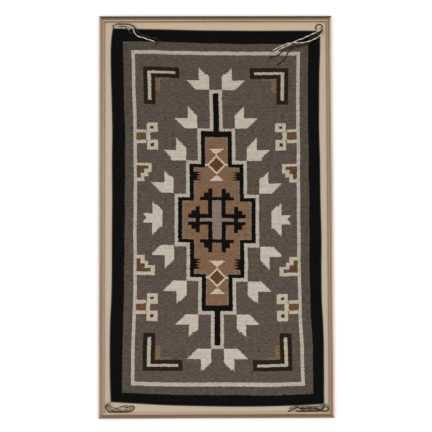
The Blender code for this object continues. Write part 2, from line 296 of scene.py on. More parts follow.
def ribTree():  # raises the top of the web over each warp yarn
    tree, given, end = newTree("warpRibs", {
        "Rib Height": "Float",
        "Base Height": "Float",
        "Material": "Material",
    })
    chart = addNode(
        tree, "GeometryNodeInputNamedAttribute", {"Name": "chart"}, data_type="FLOAT_VECTOR")
    cell = addNode(tree, "SeparateXYZ", {0: chart})
    nearest = addNode(tree, "Math", {0: cell.outputs[0]}, operation="ROUND")
    off = addNode(tree, "Math", {0: cell.outputs[0], 1: nearest}, operation="SUBTRACT")
    double = addNode(tree, "Math", {0: off, 1: 2.0}, operation="MULTIPLY")
    square = addNode(tree, "Math", {0: double, 1: double}, operation="MULTIPLY")
    rest = addNode(tree, "Math", {0: 1.0, 1: square}, operation="SUBTRACT", use_clamp=True)
    crown = addNode(tree, "Math", {0: rest, 1: 0.5}, operation="POWER")
    height = addNode(tree, "Math", {0: crown, 1: given["Rib Height"]}, operation="MULTIPLY")
    high = addNode(tree, "SeparateXYZ", {0: addNode(tree, "GeometryNodeInputPosition")})
    onTop = addNode(
        tree, "Math", {0: high.outputs[2], 1: given["Base Height"]}, operation="GREATER_THAN")
    lift = addNode(tree, "Math", {0: height, 1: onTop}, operation="MULTIPLY")
    offset = addNode(tree, "CombineXYZ", {2: lift})
    raised = addNode(
        tree, "GeometryNodeSetPosition", {"Geometry": given["Geometry"], "Offset": offset})
    return endTree(tree, given, end, raised)


# Wood, board and linen

wood = {
    "grainWidth": 2.2 * mm,
    "grainStretch": 26,
    # lacquer tone at distances (mm) in from the outer edge, one copy for each side: dark stain plus
    # painted light and shade, with pale outer edges as a painted reflection
    "left": [(0, "#d7cbc0"), (3, "#a79689"), (8, "#897361"), (12, "#8f7560"), (14.5, "#b69e86"),
             (16, "#b69e88")],
    "right": [(0, "#e3d0c3"), (4, "#c9b2a6"), (7, "#a08574"), (10, "#7d624f"), (13.5, "#9b866c"),
              (16, "#a08d72")],
    "top": [(0, "#624c39"), (4.5, "#39281a"), (7.5, "#715d4c"), (11, "#7c6853"),
            (13.5, "#b49f8a"), (16, "#8c755a")],
    "bottom": [(0, "#907860"), (4, "#705d4c"), (9, "#755c46"), (12, "#927860"), (14, "#b59e87"),
               (16, "#d7bfa8")],
    "drift": 1.6 * mm,
    "poreTone": 0.6,
    "relief": 0.2 * mm,
}


def woodMaterial(side):
    # Pale softwood, planed: fine dark grain under a thin satin lacquer
    material, tree, shader = newMaterial(
        "lacquered_softwood_painted_light_" + side, Roughness=0.5, IOR=1.5, Specular_IOR_Level=0.25)
    lengthAxis = 1 if side in ("left", "right") else 0
    across = 1 - lengthAxis
    low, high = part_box("frame_rail_" + side)
    place = addNode(tree, "TexCoord").outputs["Object"]
    scale = [1 / wood["grainWidth"]] * 3
    scale[lengthAxis] /= wood["grainStretch"]
    grain = addNode(tree, "Mapping", {"Vector": place, "Scale": scale})
    fibres = addNode(
        tree, "TexNoise", {"Vector": grain, "Scale": 1.0, "Detail": 5.0, "Roughness": 0.6})
    slow = addNode(tree, "TexNoise", {"Vector": grain, "Scale": 0.16, "Detail": 2.0})
    fine = addNode(tree, "TexNoise", {"Vector": grain, "Scale": 3.4, "Detail": 2.0})

    # painted light and shade over the lacquer's tone, in bands that follow the moulding and differ
    # from side to side
    spot = addNode(tree, "SeparateXYZ", {0: place})
    outer = max(abs(low[across]), abs(high[across]))
    fromMiddle = addNode(tree, "Math", {0: spot.outputs[across]}, operation="ABSOLUTE")
    drift = addNode(
        tree, "Math", {0: slow, 1: wood["drift"], 2: fromMiddle}, operation="MULTIPLY_ADD")
    deep = addNode(tree, "Math", {0: outer + wood["drift"] / 2, 1: drift}, operation="SUBTRACT")
    width = wood[side][-1][0] * mm
    part = addNode(tree, "Math", {0: deep, 1: width}, operation="DIVIDE")
    tone = addNode(tree, "ValToRGB", {"Fac": part})
    stops = tone.color_ramp.elements
    while len(stops) < len(wood[side]):
        stops.new(0.5)
    for stop, (distance, hexColour) in zip(stops, wood[side]):
        stop.position = distance * mm / width
        stop.color = linear(hexColour)

    streaks = addNode(tree, "MapRange", {"Value": fibres, **span(0.25, 0.75, 0.9, 1.1)})
    bright = addNode(tree, "MapRange", {"Value": slow, **span(0.3, 0.7, 0.9, 1.1)})
    both = addNode(tree, "Math", {0: streaks, 1: bright}, operation="MULTIPLY")
    toned = addNode(tree, "VectorMath", {0: tone, "Scale": both}, operation="SCALE")
    pores = addNode(tree, "MapRange", {"Value": fine, **span(0.62, 0.74, 1.0, wood["poreTone"])})
    colour = addNode(tree, "VectorMath", {0: toned, "Scale": pores}, operation="SCALE")
    dress(tree, shader, colour.outputs[0], fibres, 0.35, wood["relief"])
    return material


board = {
    "chipScale": 420.0,
    "cloudScale": 9.0,
    "tones": ("#6b4f37", "#94724f"),
    "relief": 0.15 * mm,
}


def boardMaterial():
    # Hardboard: pressed brown fibres, matt, with no grain direction
    material, tree, shader = newMaterial("pressed_hardboard", Roughness=0.8, IOR=1.45)
    place = addNode(tree, "TexCoord").outputs["Object"]
    chips = addNode(
        tree, "TexNoise", {"Vector": place, "Scale": board["chipScale"], "Detail": 4.0})
    clouds = addNode(
        tree, "TexNoise", {"Vector": place, "Scale": board["cloudScale"], "Detail": 3.0})
    mixed = addNode(tree, "Math", {0: chips, 1: clouds}, operation="MULTIPLY")
    level = addNode(tree, "MapRange", {"Value": mixed, **span(0.12, 0.4)})
    dark, pale = board["tones"]
    colour = addNode(tree, "Mix", {0: level, 6: linear(dark), 7: linear(pale)}, data_type="RGBA")
    dress(tree, shader, colour.outputs[2], chips, 0.3, board["relief"])
    return material


linen = {
    "tone": "#c7b9a6",
    "shade": "#ab9b88",
    "warmerAbove": (1.1, 1.03, 0.92),  # warmer, lighter tint of the strip above the rug
    "warmerFrom": (0.51, 0.555),  # along the rug, where the tint comes in
    "thread": 1.3 * mm,  # real threads are about 0.6 mm, drawn at twice that so that they show
    "slubStretch": 14,
    "relief": 0.25 * mm,
    "grid": 9 * mm,
    "slack": 0.05 * mm,
    "slackWaves": (21, 17, 47),  # radians a metre
}


def linenMaterial():
    # Unbleached linen in plain weave: matt crossing threads with slubs both ways
    material, tree, shader = newMaterial(
        "unbleached_linen", Roughness=0.92, IOR=1.45, Sheen_Weight=0.1)
    place = addNode(tree, "TexCoord").outputs["Object"]
    spot = addNode(tree, "SeparateXYZ", {0: place})
    threads, slubs = [], []
    for axis in (0, 1):
        turn = addNode(
            tree, "Math", {0: spot.outputs[axis], 1: math.pi / linen["thread"]},
            operation="MULTIPLY")
        wave = addNode(tree, "Math", {0: turn}, operation="SINE")
        threads.append(addNode(tree, "Math", {0: wave}, operation="ABSOLUTE"))
        scale = [1 / linen["thread"]] * 3
        scale[axis] /= linen["slubStretch"]
        run = addNode(tree, "Mapping", {"Vector": place, "Scale": scale})
        slubs.append(
            addNode(tree, "TexNoise", {"Vector": run, "Scale": 0.8, "Detail": 2.0}))
    weave = addNode(tree, "Math", {0: threads[0], 1: threads[1]}, operation="MULTIPLY")
    slub = addNode(tree, "Math", {0: slubs[0], 1: slubs[1]}, operation="ADD")
    level = addNode(tree, "Math", {0: slub, 1: weave}, operation="MULTIPLY")
    bright = addNode(tree, "MapRange", {"Value": level, **span(0.2, 1.0)})
    colour = addNode(
        tree, "Mix", {0: bright, 6: linear(linen["shade"]), 7: linear(linen["tone"])},
        data_type="RGBA")
    above = addNode(tree, "MapRange", {"Value": spot.outputs[1], **span(*linen["warmerFrom"])})
    tinted = addNode(
        tree, "VectorMath", {0: colour.outputs[2], 1: linen["warmerAbove"]}, operation="MULTIPLY")
    colour = addNode(tree, "Mix", {0: above, 6: colour.outputs[2], 7: tinted}, data_type="RGBA")
    dress(tree, shader, colour.outputs[2], level, 0.6, linen["relief"])
    return material


def closedSheet(name, top, floorHeight, chart=None):
    # a grid of top points, walls round it and one underside; chart gives a UV pair for each point
    rows, columns = top.shape[:2]
    index = np.arange(rows * columns).reshape(rows, columns)
    rim = np.concatenate([index[0, :-1], index[:-1, -1], index[-1, :0:-1], index[:0:-1, 0]])
    points = top.reshape(-1, 3)
    under = points[rim].copy()
    under[:, 2] = floorHeight
    quads = np.stack([index[:-1, :-1], index[:-1, 1:], index[1:, 1:], index[1:, :-1]], axis=-1)
    faces = quads.reshape(-1, 4).tolist()
    first = rows * columns
    count = len(rim)
    for i in range(count):
        j = (i + 1) % count
        faces.append([int(rim[i]), first + i, first + j, int(rim[j])])
    faces.append([first + i for i in range(count)][::-1])
    mesh = bpy.data.meshes.new(name)
    mesh.from_pydata(np.concatenate([points, under]).tolist(), [], faces)
    if chart is not None:
        pairs = chart.reshape(-1, 2)
        pairs = np.concatenate([pairs, pairs[rim]])
        layer = mesh.uv_layers.new(name="chart")
        corners = np.empty(len(mesh.loops), int)
        mesh.loops.foreach_get("vertex_index", corners)
        layer.data.foreach_set("uv", pairs[corners].astype(np.float32).ravel())
    smooth = np.ones(len(mesh.polygons), bool)
    smooth[-(count + 1):] = False
    mesh.polygons.foreach_set("use_smooth", smooth)
    mesh.update()
    return newObject(name, mesh)


def buildLinen():
    low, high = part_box("linen_panel")
    across, along = (
        np.linspace(low[axis], high[axis], round((high[axis] - low[axis]) / linen["grid"]) + 1)
        for axis in (0, 1)
    )
    x, y = np.meshgrid(across, along)
    wide, long, short = linen["slackWaves"]
    slack = linen["slack"] * (np.sin(x * wide + 1.3) * np.sin(y * long) + np.sin(x * short) * 0.4)
    z = high[2] - 1.4 * linen["slack"] + slack
    piece = closedSheet("linen_cloth", np.stack([x, y, z], axis=-1), low[2])
    piece.data.materials.append(linenMaterial())
    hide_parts("linen_panel")
    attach(piece, "root")
    return piece


finishes = {"frame_rail_" + side: woodMaterial(side) for side in ("bottom", "top", "left", "right")}
finishes["backing_board"] = boardMaterial()
for nodeName, finish in finishes.items():
    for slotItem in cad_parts[nodeName].material_slots:
        slotItem.material = finish
linenCloth = buildLinen()
print("frame, board and linen are finished")


# The rug: a chart of cells, one for each warp and row, laid onto the uneven web

web = {
    "inset": 3.4,  # how far inside the outline the web ends, under the edge cords
    "warps": 247,
    "pointsPerWarp": 3,
    "rowStep": 10.4,
    "ribHeight": 0.35 * mm,
    "wave": 0.22 * mm,
    "waves": (0.031, 0.011, 0.023),  # radians a millimetre
    "cell": 2.47,
    "bead": 1.2,
    "beadRelief": 0.25 * mm,
    "wander": (0.03, 0.22),  # pace of the drift of edges over a long run, and its reach in cells
    "tick": (0.5, 0.3),  # pace and reach of an edge's steps from weft to weft
}

# Where the lines of the border lie on the web (millimetres), measured at a dozen heights
LineRow = namedtuple("LineRow", "along blackLeft lineLeft lineRight blackRight")
borderAcross = [LineRow(*row) for row in (
    (-510, -273.0, -247.0, 255.6, 279.2),
    (-420, -272.4, -246.7, 253.0, 278.3),
    (-363, -271.5, -245.8, 251.2, 277.2),
    (-305, -269.7, -243.0, 248.9, 274.7),
    (-247, -267.8, -241.3, 246.8, 272.3),
    (-160, -266.7, -240.3, 245.5, 271.1),
    (-15, -265.3, -239.9, 244.7, 271.3),
    (100, -264.6, -239.5, 245.3, 270.8),
    (219, -264.4, -240.0, 245.0, 269.4),
    (336, -267.1, -242.5, 245.1, 269.6),
    (454, -270.1, -246.2, 246.8, 271.1),
    (510, -270.6, -247.4, 248.0, 271.8),
)]
warpKnots = {"blackLeft": -110, "lineLeft": -100, "lineRight": 100, "blackRight": 110}
EdgeRow = namedtuple("EdgeRow", "across blackBottom lineBottom lineTop blackTop")
borderAlong = [EdgeRow(*row) for row in (
    (-270, -511.0, -490.0, 486.0, 511.4),
    (-190, -514.6, -491.8, 484.9, 511.0),
    (-103, -517.5, -493.2, 482.3, 508.2),
    (-16, -517.7, -493.5, 480.5, 504.4),
    (71, -519.3, -494.6, 479.8, 502.4),
    (158, -520.1, -495.3, 479.8, 502.6),
    (245, -517.6, -492.7, 479.7, 503.2),
    (280, -515.9, -491.5, 479.7, 503.6),
)]
rowKnots = {"blackBottom": -204, "lineBottom": -194.3, "lineTop": 200, "blackTop": 209.5}
halfWarps = 123.5
lastRows = (-215.5, 223.0)
# rows lean where the weaver beat them harder on one side: (row, rows of rise at leanWarp)
lean = [(-190, 0), (-102, 0.3), (-54, -0.75), (1, -0.45), (55, -0.25), (99, 0.8), (160, 0)]
leanWarp = 85


def betweenKnots(value, numbers, places):  # straight lines between knots, one set for each point
    result = np.empty_like(value)
    for i in range(len(numbers) - 1):
        t = (value - numbers[i]) / (numbers[i + 1] - numbers[i])
        part = places[i] + (places[i + 1] - places[i]) * t
        inside = value >= numbers[i] if i else np.ones(value.shape, bool)
        result = np.where(inside, part, result)
    return result


def layChart(warp, row):  # place on the web (millimetres) of chart cells
    x = warp * web["cell"]
    y = row * web["cell"]
    inset = web["inset"]
    for _ in range(4):
        across = [smoothAt(sides, "left", y) + inset]
        across += [smoothAt(borderAcross, name, y) for name in warpKnots]
        across += [smoothAt(sides, "right", y) - inset]
        x = betweenKnots(warp, [-halfWarps, *warpKnots.values(), halfWarps], across)
        along = [smoothAt(ends, "bottom", x) + inset]
        along += [smoothAt(borderAlong, name, x) for name in rowKnots]
        along += [smoothAt(ends, "top", x) - inset]
        y = betweenKnots(row, [lastRows[0], *rowKnots.values(), lastRows[1]], along)
    rise = np.interp(row, [knot for knot, size in lean], [size for knot, size in lean])
    return x, y + rise * warp / leanWarp * web["cell"]


# Motifs are a colour and boxes of cells, each (nearest and farthest warp, lowest and highest row)
pattern = {
    "frames": [
        ("#4b433b", [(-1, 110, -204, 209.5)]),
        ("#a29a8d", [(-1, 100, -194.3, 200)]),
        ("#51463e", [(-1, 96, -189.7, 195.7)]),
    ],
    "brackets": [  # warps and rows in from the bracket's corner
        ("#645244", [(13.2, 19.8, 12.8, 30), (13.2, 32, 12.8, 16.6)]),
        ("#6c563c", [(15.5, 19.8, 14, 27)]),
        ("#231911", [(0, 13.2, 0, 44.2), (0, 45.3, 0, 12.8)]),
        ("#9f968b", [(4.7, 8.9, 4.7, 39.4), (4.7, 40.2, 4.7, 8.6)]),
    ],
    "bracketCorner": (86.2, 178.6),
    "bracketMiddle": 2.0,
    "bracketShort": (25.0, 2.5),  # the upper left long arm ends short: from which warp, how much
    "squares": [  # rows from the middle of a pair
        ("#aa9e8d", [(70.9, 84, 4.2, 15.9), (84.2, 97, 4.2, 8.1), (79.9, 84.2, -1, 4.2)]),
        ("#5a422d", [(84.4, 96.2, -1, 4.1)]),
        ("#352b25", [(75.2, 79.7, 8.6, 12)]),
    ],
    "squaresMiddles": (-1.75, 100.55),
    "stairs": [
        ("#aa9e8d", [(87.1, 97, 44.5, 50.4), (82.4, 97, 50.4, 55.9), (78.2, 97, 55.9, 66.5),
                     (86.6, 97, -49.2, -42.9), (82.2, 97, -54.3, -49.2),
                     (74.7, 97, -65.8, -54.3)]),
        ("#543d2a", [(91.4, 96.2, 48.3, 54.5), (87.1, 96.2, 54.5, 60), (82.4, 96.2, 60, 63),
                     (91.3, 96.2, -52.7, -46.3), (86.6, 96.2, -57.9, -52.7),
                     (79.2, 96.2, -61.8, -57.9)]),
    ],
    "wingColour": "#afa798",
    "sideWing": {
        "foot": 65.3,
        "middle": 1.35,
        "slant": -0.85,
        "body": (0, 12.2, -40, 9),
        "notch": -0.75,
        "tongue": (-20, 19.4, -1, 5.4),
    },
    # corners of the medallion that wings grow from: warp, highest and lowest row
    "wings": [(51.3, 31.6, -30.5), (36.8, 70.5, -71.5), (22.2, 108.4, -110.7),
              (7.9, 154.2, -150.7)],
    "wingArm": 11.7,
    "wingReach": 15.9,
    "wingFlare": -0.93,
    "medallion": [
        ("#a19a8d", [(-1, 50.8, -31, 30.9), (-1, 36.7, -71.9, 70.5), (-1, 22.2, -110.6, 108.3),
                     (-1, 7.8, -150.8, 154.1)]),
        ("#0a0705", [(-1, 46.7, -26.8, 26.9), (-1, 32.4, -67.8, 66.3), (-1, 18.1, -106.6, 105.1),
                     (-1, 3.7, -146.5, 150.3)]),
        ("#6f5e4f", [(-1, 41.5, -22.1, 22.5), (-1, 27.5, -63, 62.8), (-1, 13.1, -99.7, 98)]),
        ("#715641", [(-1, 39.8, -20.5, 21), (-1, 25.9, -61.4, 61.2), (-1, 11.5, -98.2, 96.4)]),
    ],
    "upperHalf": (31.5, 0.5),  # above which row the medallion stands how many warps to the left
    "cross": [  # with the row that each part is mirrored at
        ("#75685d", 0.75, [(-1, 20.2, -1, 2), (25.1, 34.3, -1, 2)]),
        ("#0a0705", 0.3, [(5.7, 15.6, 26.9, 32.5), (5.7, 10.4, 32.5, 37.5)]),
        ("#0a0705", 0.75, [(20.2, 25.1, -1, 2), (5.5, 34.3, 2, 6.7), (20.2, 30.1, 6.7, 11.1),
                           (20.2, 25.1, 11.1, 15.3), (5.5, 10.4, 5, 23.2),
                           (-1, 20, 23.2, 27.1)]),
        ("#75685d", 0.75, [(-1, 5.5, -1, 23.2)]),
    ],
    "diamond": {
        "middles": (-0.85, 66.45),
        "brown": "#533822",
        "pale": "#b4a494",
        "size": 10.3,
        "halfLine": 1.35,
        "stairStep": 2,
        "stairSize": 10.0,
        "tips": [(9.4, 13.1, -1, 1.2), (-1, 0.7, 9, 13)],
        "triangleSlope": -1.25,
        "triangleTip": -15.0,
        "triangleBox": [(-1, 9.2, 10.5, 19.4)],
    },
    "fans": {
        "colour": "#0a0705",
        "teeth": 4.0,
        "rows": [(46.3, 58.1), (-44.9, -58.1)],
        "upperLonger": 1.5,
        "taper": (19.8, 26.0, 0.06, 0.5),
        "boxes": [(19.8, 29.1, 46.9, 57.1), (19.8, 29.1, -57.9, -45.7)],
    },
}


def boxMask(tree, x, y, boxes):  # 1 where a cell lies in any box of (left, right, low, high)
    mask = None
    for left, right, low, high in boxes:
        across, along = (
            addNode(
                tree, "Math", {0: place, 1: (near + far) / 2, 2: (far - near) / 2},
                operation="COMPARE")
            for place, near, far in ((x, left, right), (y, low, high))
        )
        both = addNode(tree, "Math", {0: across, 1: along}, operation="MINIMUM")
        mask = both if mask is None else addNode(
            tree, "Math", {0: mask, 1: both}, operation="MAXIMUM")
    return mask


def foldRows(tree, row, *middles):  # distance in rows from a motif's middle row, fold after fold
    for middle in middles:
        off = addNode(tree, "Math", {0: row, 1: middle}, operation="SUBTRACT")
        row = addNode(tree, "Math", {0: off}, operation="ABSOLUTE")
    return row


def steppedCell(tree, value, step):  # a place rounded to whole steps of cells
    share = addNode(tree, "Math", {0: value, 1: float(step)}, operation="DIVIDE")
    whole = addNode(tree, "Math", {0: share}, operation="ROUND")
    return addNode(tree, "Math", {0: whole, 1: float(step)}, operation="MULTIPLY")


def wovenPlace(tree, chart):  # the chart's place, wandering as the weaver's edges do
    moved = chart
    for pace, reach in (web["wander"], web["tick"]):
        drift = addNode(
            tree, "TexNoise", {"Vector": chart, "Scale": pace, "Detail": 0.0},
            noise_dimensions="2D")
        off = addNode(
            tree, "VectorMath", {0: drift.outputs["Color"], 1: (0.5, 0.5, 0.5)},
            operation="SUBTRACT")
        sized = addNode(tree, "VectorMath", {0: off, "Scale": 4 * reach}, operation="SCALE")
        moved = addNode(tree, "VectorMath", {0: moved, 1: sized}, operation="ADD")
    return addNode(tree, "SeparateXYZ", {0: moved})


def wingMask(tree, x, y, stepX, stepY):
    # a corner with two arms whose ends are cut on the slant; steps make the slant's teeth
    low, high, lowStep, highStep = (
        addNode(tree, "Math", {0: a, 1: b}, operation=operation)
        for a, b in ((x, y), (stepX, stepY)) for operation in ("MINIMUM", "MAXIMUM")
    )
    slant = addNode(
        tree, "Math", {0: lowStep, 1: pattern["wingFlare"], 2: highStep}, operation="MULTIPLY_ADD")
    cut = addNode(tree, "Math", {0: slant, 1: pattern["wingReach"]}, operation="LESS_THAN")
    body = boxMask(tree, low, high, [(0, pattern["wingArm"], -1, 30)])
    return addNode(tree, "Math", {0: body, 1: cut}, operation="MINIMUM")


def sideWingMask(tree, ax, axStep, row, rowStep):  # an arrowhead that points to the middle
    wing = pattern["sideWing"]
    out = addNode(tree, "Math", {0: ax, 1: wing["foot"]}, operation="SUBTRACT")
    outStep = addNode(tree, "Math", {0: axStep, 1: wing["foot"]}, operation="SUBTRACT")
    off = foldRows(tree, row, wing["middle"])
    slant = addNode(
        tree, "Math",
        {0: outStep, 1: wing["slant"], 2: foldRows(tree, rowStep, wing["middle"])},
        operation="MULTIPLY_ADD")
    body = boxMask(tree, out, slant, [wing["body"]])
    notch = addNode(tree, "Math", {0: off, 1: wing["notch"], 2: out}, operation="MULTIPLY_ADD")
    tongue = boxMask(tree, notch, off, [wing["tongue"]])
    beyond = addNode(tree, "Math", {0: out, 1: 0.0}, operation="GREATER_THAN")
    tongue = addNode(tree, "Math", {0: tongue, 1: beyond}, operation="MINIMUM")
    return addNode(tree, "Math", {0: body, 1: tongue}, operation="MAXIMUM")


def bracketPlace(tree, warp, ax, row):  # warps and rows in from a corner bracket's corner
    cornerWarp, cornerRow = pattern["bracketCorner"]
    bx = addNode(tree, "Math", {0: cornerWarp, 1: ax}, operation="SUBTRACT")
    by = addNode(
        tree, "Math", {0: cornerRow, 1: foldRows(tree, row, pattern["bracketMiddle"])},
        operation="SUBTRACT")
    reach, short = pattern["bracketShort"]
    there = addNode(tree, "Math", {0: warp, 1: 0.0}, operation="LESS_THAN")
    for place, limit in ((row, 0.0), (bx, reach)):
        beyond = addNode(tree, "Math", {0: place, 1: limit}, operation="GREATER_THAN")
        there = addNode(tree, "Math", {0: there, 1: beyond}, operation="MINIMUM")
    bx = addNode(tree, "Math", {0: there, 1: short, 2: bx}, operation="MULTIPLY_ADD")
    return bx, by


def diamondLayers(tree, mx, slackWarp, row, looseRow):  # diamonds between two triangles
    diamond = pattern["diamond"]
    off = foldRows(tree, row, *diamond["middles"])
    slackOff = foldRows(tree, looseRow, *diamond["middles"])
    whole = addNode(tree, "Math", {0: mx, 1: off}, operation="ADD")
    inside = addNode(tree, "Math", {0: whole, 1: diamond["size"]}, operation="LESS_THAN")
    slack = addNode(tree, "Math", {0: slackWarp, 1: slackOff}, operation="ADD")
    line = addNode(
        tree, "Math", {0: slack, 1: diamond["size"], 2: diamond["halfLine"]}, operation="COMPARE")
    stair = addNode(tree, "Math", {
        0: steppedCell(tree, slackWarp, diamond["stairStep"]),
        1: steppedCell(tree, slackOff, diamond["stairStep"]),
    }, operation="ADD")
    stair = addNode(tree, "Math", {0: stair, 1: diamond["stairSize"], 2: 0.1}, operation="COMPARE")
    fall = addNode(
        tree, "Math", {0: off, 1: diamond["triangleSlope"], 2: mx}, operation="MULTIPLY_ADD")
    slopes = addNode(tree, "Math", {0: fall, 1: diamond["triangleTip"]}, operation="LESS_THAN")
    triangle = addNode(
        tree, "Math",
        {0: slopes, 1: boxMask(tree, mx, off, diamond["triangleBox"])}, operation="MINIMUM")
    edge = boxMask(tree, mx, off, diamond["tips"])
    for part in (line, stair, triangle):
        edge = addNode(tree, "Math", {0: edge, 1: part}, operation="MAXIMUM")
    return [(inside, diamond["brown"]), (edge, diamond["pale"])]


def fanMask(tree, upper, slackWarp, looseRow):  # fine teeth inside the second step
    fans = pattern["fans"]
    phases = [
        addNode(tree, "MapRange", {"Value": looseRow, **span(first, last, 0.0, fans["teeth"])})
        for first, last in fans["rows"]
    ]
    phase = addNode(tree, "Math", {0: phases[0], 1: phases[1]}, operation="ADD")
    tooth = foldRows(tree, addNode(tree, "Math", {0: phase}, operation="FRACT"), 0.5)
    reach = addNode(
        tree, "Math", {0: upper, 1: fans["upperLonger"], 2: slackWarp}, operation="MULTIPLY_ADD")
    taper = addNode(tree, "MapRange", {"Value": reach, **span(*fans["taper"])})
    teeth = addNode(tree, "Math", {0: tooth, 1: taper}, operation="LESS_THAN")
    body = boxMask(tree, reach, looseRow, fans["boxes"])
    return addNode(tree, "Math", {0: teeth, 1: body}, operation="MINIMUM")


def motifLayers(tree, loose):  # mask and colour of every motif, from the back to the front
    looseWarp, looseRow = loose.outputs[0], loose.outputs[1]
    warp = addNode(tree, "Math", {0: looseWarp}, operation="ROUND")
    row = addNode(tree, "Math", {0: looseRow}, operation="ROUND")
    rowStep = steppedCell(tree, looseRow, 2)
    ax = addNode(tree, "Math", {0: warp}, operation="ABSOLUTE")
    upperRow, upperShift = pattern["upperHalf"]
    upper = addNode(tree, "Math", {0: row, 1: upperRow}, operation="GREATER_THAN")
    shifted = addNode(
        tree, "Math", {0: upper, 1: upperShift, 2: looseWarp}, operation="MULTIPLY_ADD")
    slackWarp = addNode(tree, "Math", {0: shifted}, operation="ABSOLUTE")
    mx = addNode(tree, "Math", {0: slackWarp}, operation="ROUND")
    mxStep = steppedCell(tree, slackWarp, 2)
    borderWarp = addNode(tree, "Math", {0: looseWarp}, operation="ABSOLUTE")

    layers = []
    for motif, across, along in (
        ("frames", borderWarp, looseRow),
        ("brackets", *bracketPlace(tree, warp, ax, row)),
        ("squares", ax, foldRows(tree, row, *pattern["squaresMiddles"])),
        ("stairs", ax, row),
    ):
        layers += [(boxMask(tree, across, along, boxes), tone) for tone, boxes in pattern[motif]]
    layers.append((sideWingMask(tree, ax, mxStep, row, rowStep), pattern["wingColour"]))
    for width, high, low in pattern["wings"]:
        x, stepX = (
            addNode(tree, "Math", {0: place, 1: width}, operation="SUBTRACT")
            for place in (mx, mxStep)
        )
        y, stepY = (
            addNode(
                tree, "Math",
                {0: foldRows(tree, place, (high + low) / 2), 1: (high - low) / 2},
                operation="SUBTRACT")
            for place in (row, rowStep)
        )
        layers.append((wingMask(tree, x, y, stepX, stepY), pattern["wingColour"]))
    layers += [(boxMask(tree, mx, row, boxes), tone) for tone, boxes in pattern["medallion"]]
    for tone, middle, boxes in pattern["cross"]:
        layers.append((boxMask(tree, ax, foldRows(tree, row, middle), boxes), tone))
    layers += diamondLayers(tree, mx, slackWarp, row, looseRow)
    layers.append((fanMask(tree, upper, slackWarp, looseRow), pattern["fans"]["colour"]))
    return layers


wool = {
    "black": ("#020202", "#0d0d0e"),  # where the dye took most and least
    # how noises are drawn out over warps and rows: their scale across and along
    "dye": (0.3, 1.1),
    "lots": (0.014, 0.4),
    "carding": (0.22, 1.1),
    "batches": (0.09, 0.2),
    "lotTones": (0.9, 1.1),
    "laterTones": (-190.0, 190.0, 1.04, 0.95),  # rows, and how light the yarn is at them
    "mottle": 1.9,  # how strongly carded flecks lighten and darken dark yarn
    "paleShare": 1 / 3,  # of it, in yarn lighter than the second of the next two
    "mottled": (0.06, 0.15),
    "fleckHue": 0.14,
    "batchTone": 0.16,  # how far the tone of one carded batch may lie from the next
}


def woolNoise(tree, chart, kind, detail, roughness=0.6):
    run = addNode(tree, "Mapping", {"Vector": chart, "Scale": (*wool[kind], 1)})
    return addNode(
        tree, "TexNoise",
        {"Vector": run, "Scale": 1.0, "Detail": detail, "Roughness": roughness},
        noise_dimensions="2D")


def carded(tree, chart, looseRow, colour):  # dye lots in streaks, flecks from carding and batches
    lots = addNode(
        tree, "MapRange",
        {"Value": woolNoise(tree, chart, "lots", 3.0), **span(0.3, 0.7, *wool["lotTones"])})
    later = addNode(tree, "MapRange", {"Value": looseRow, **span(*wool["laterTones"])})
    level = addNode(tree, "Math", {0: lots, 1: later}, operation="MULTIPLY")
    colour = addNode(tree, "VectorMath", {0: colour, "Scale": level}, operation="SCALE")
    lightness = addNode(tree, "RGBToBW", {0: colour})
    strength = addNode(
        tree, "MapRange",
        {"Value": lightness,
         **span(*wool["mottled"], wool["mottle"], wool["mottle"] * wool["paleShare"])})
    flecks = woolNoise(tree, chart, "carding", 1.0)
    grey = addNode(
        tree, "Mix",
        {0: wool["fleckHue"], 6: flecks.outputs["Fac"], 7: flecks.outputs["Color"]},
        data_type="RGBA")
    fleck = addNode(
        tree, "VectorMath", {0: grey.outputs[2], 1: (0.5, 0.5, 0.5)}, operation="SUBTRACT")
    fleck = addNode(tree, "VectorMath", {0: fleck, "Scale": strength}, operation="SCALE")
    tone = addNode(
        tree, "MapRange",
        {6: woolNoise(tree, chart, "batches", 2.0).outputs["Color"], 7: (0, 0, 0), 8: (1, 1, 1),
         9: [1 - wool["batchTone"]] * 3, 10: [1 + wool["batchTone"]] * 3},
        data_type="FLOAT_VECTOR")
    tint = addNode(tree, "VectorMath", {0: fleck, 1: tone.outputs["Vector"]}, operation="ADD")
    return addNode(tree, "VectorMath", {0: colour, 1: tint}, operation="MULTIPLY")


def rugMaterial():
    # Handspun sheep's wool, weft-faced tapestry: matt beads of yarn over ribs, streaked by dye lots
    material, tree, shader = newMaterial(
        "handspun_wool_tapestry", Roughness=0.95, IOR=1.54, Specular_IOR_Level=0.08)
    chart = addNode(tree, "UVMap", uv_map="chart")
    loose = wovenPlace(tree, chart)
    taken = addNode(
        tree, "MapRange", {"Value": woolNoise(tree, chart, "dye", 1.0, 0.5), **span(0.35, 0.65)})
    most, least = wool["black"]
    colour = addNode(
        tree, "Mix", {0: taken, 6: linear(most), 7: linear(least)}, data_type="RGBA").outputs[2]
    for mask, tone in motifLayers(tree, loose):
        colour = addNode(
            tree, "Mix", {0: mask, 6: colour, 7: linear(tone)}, data_type="RGBA").outputs[2]
    colour = carded(tree, chart, loose.outputs[1], colour)

    # beads of weft, staggered from warp to warp
    plain = addNode(tree, "SeparateXYZ", {0: chart})
    number = addNode(tree, "Math", {0: plain.outputs[0]}, operation="ROUND")
    shift = addNode(tree, "Math", {0: number, 1: 0.5}, operation="MULTIPLY")
    count = addNode(
        tree, "Math", {0: plain.outputs[1], 1: web["cell"] / web["bead"], 2: shift},
        operation="MULTIPLY_ADD")
    angle = addNode(tree, "Math", {0: count, 1: math.pi}, operation="MULTIPLY")
    wave = addNode(tree, "Math", {0: angle}, operation="SINE")
    bead = addNode(tree, "Math", {0: wave}, operation="ABSOLUTE")
    dress(tree, shader, colour.outputs[0], bead, 0.7, web["beadRelief"])
    return material


